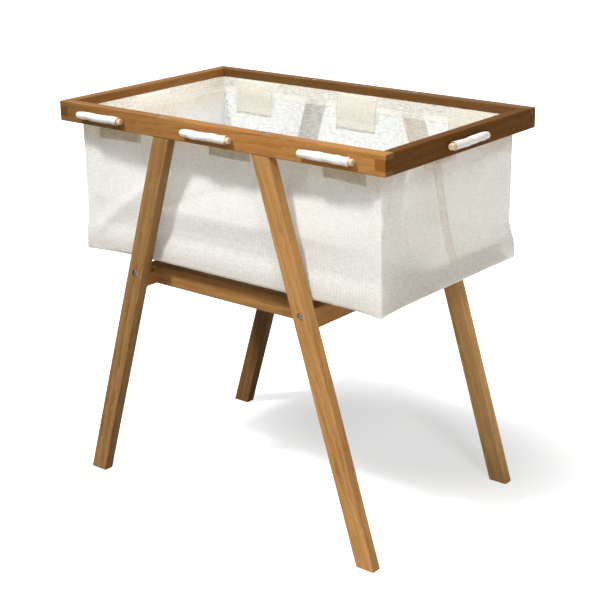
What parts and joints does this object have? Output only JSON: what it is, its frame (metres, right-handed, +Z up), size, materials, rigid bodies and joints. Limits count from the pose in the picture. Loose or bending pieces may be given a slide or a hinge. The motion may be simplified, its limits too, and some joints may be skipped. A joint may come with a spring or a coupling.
{
  "type": "bassinet on stand",
  "caption": "Wooden bassinet stand with a slotted top frame on splayed legs, and a fabric bag with a mattress hung from it by loops over loose dowels.",
  "frame": {"origin": "on the floor, under the middle of the top frame", "axes": "+X along the long rails to the right, +Y from the front to the back, +Z up"},
  "size_m": [0.8842, 0.5482, 0.84],
  "materials": {
    "frame_wood": "oiled",
    "pale_wood": "bare",
    "zinc_steel": "zinc plated",
    "bag_mesh": "open weave",
    "loop_cloth": "woven",
    "seam_tape": "woven",
    "board": "bare",
    "mattress_cover": "quilted cotton"
  },
  "bodies": {
    "stand_and_bag": {"back_beam": "frame_wood", "back_left_leg": "frame_wood", "back_loop_1": "loop_cloth", "back_loop_2": "loop_cloth", "back_loop_3": "loop_cloth", "back_rail": "frame_wood", "back_right_leg": "frame_wood", "bag_base": "bag_mesh", "bag_seam": "seam_tape", "bag_wall": "bag_mesh", "base_board": "board", "cross_rail_pins": "pale_wood", "front_beam": "frame_wood", "front_left_leg": "frame_wood", "front_loop_1": "loop_cloth", "front_loop_2": "loop_cloth", "front_loop_3": "loop_cloth", "front_rail": "frame_wood", "front_right_leg": "frame_wood", "left_cross_rail": "frame_wood", "left_loop": "loop_cloth", "left_rail": "frame_wood", "leg_bolt_nuts": "zinc_steel", "leg_bolts": "zinc_steel", "leg_top_pins": "pale_wood", "rail_bolt_nuts": "zinc_steel", "rail_bolts": "zinc_steel", "right_cross_rail": "frame_wood", "right_loop": "loop_cloth", "right_rail": "frame_wood"},
    "front_dowel_1_body": {"front_dowel_1": "pale_wood"},
    "front_dowel_2_body": {"front_dowel_2": "pale_wood"},
    "front_dowel_3_body": {"front_dowel_3": "pale_wood"},
    "back_dowel_1_body": {"back_dowel_1": "pale_wood"},
    "back_dowel_2_body": {"back_dowel_2": "pale_wood"},
    "back_dowel_3_body": {"back_dowel_3": "pale_wood"},
    "left_dowel_body": {"left_dowel": "pale_wood"},
    "right_dowel_body": {"right_dowel": "pale_wood"},
    "mattress_body": {"mattress": "mattress_cover"}
  },
  "joints": [
    {"name": "front_dowel_1_slide", "type": "slide", "parent": "stand_and_bag", "child": "front_dowel_1_body", "axis": [1, 0, 0], "range_m": [0, 0.125]},
    {"name": "front_dowel_2_slide", "type": "slide", "parent": "stand_and_bag", "child": "front_dowel_2_body", "axis": [1, 0, 0], "range_m": [0, 0.125]},
    {"name": "front_dowel_3_slide", "type": "slide", "parent": "stand_and_bag", "child": "front_dowel_3_body", "axis": [1, 0, 0], "range_m": [0, 0.125]},
    {"name": "back_dowel_1_slide", "type": "slide", "parent": "stand_and_bag", "child": "back_dowel_1_body", "axis": [-1, 0, 0], "range_m": [0, 0.125]},
    {"name": "back_dowel_2_slide", "type": "slide", "parent": "stand_and_bag", "child": "back_dowel_2_body", "axis": [-1, 0, 0], "range_m": [0, 0.125]},
    {"name": "back_dowel_3_slide", "type": "slide", "parent": "stand_and_bag", "child": "back_dowel_3_body", "axis": [-1, 0, 0], "range_m": [0, 0.125]},
    {"name": "left_dowel_slide", "type": "slide", "parent": "stand_and_bag", "child": "left_dowel_body", "axis": [0, 1, 0], "range_m": [0, 0.125]},
    {"name": "right_dowel_slide", "type": "slide", "parent": "stand_and_bag", "child": "right_dowel_body", "axis": [0, -1, 0], "range_m": [0, 0.125]},
    {"name": "mattress_lift", "type": "slide", "parent": "stand_and_bag", "child": "mattress_body", "axis": [0, 0, 1], "range_m": [0, 0.33]}
  ]
}
